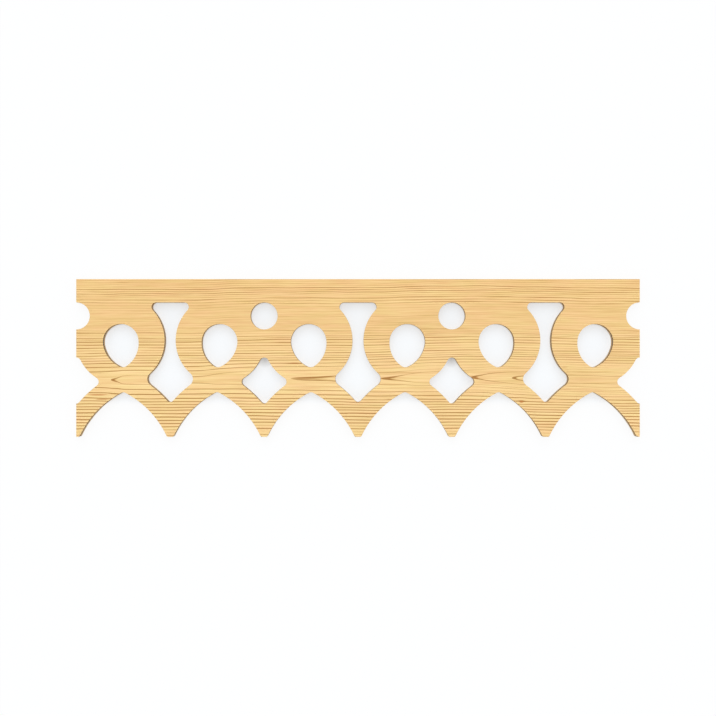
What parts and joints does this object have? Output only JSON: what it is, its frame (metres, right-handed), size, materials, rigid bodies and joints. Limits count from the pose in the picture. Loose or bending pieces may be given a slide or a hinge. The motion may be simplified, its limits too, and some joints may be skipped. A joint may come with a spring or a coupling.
{
  "type": "fretted trim board",
  "caption": "Flat pine running trim with a straight top edge, a pointed-arch lower edge and a repeating row of slots, egg-shaped, round and diamond cut-outs.",
  "frame": {"origin": "middle of the board's back face", "axes": "+X along the board's length, +Y in the board's plane towards its straight top edge, +Z out of its front face; the board lies on its back"},
  "size_m": [1.2192, 0.3414, 0.019],
  "materials": {
    "pine": "matte"
  },
  "bodies": {
    "root": {"trim_board": "pine"}
  },
  "joints": []
}
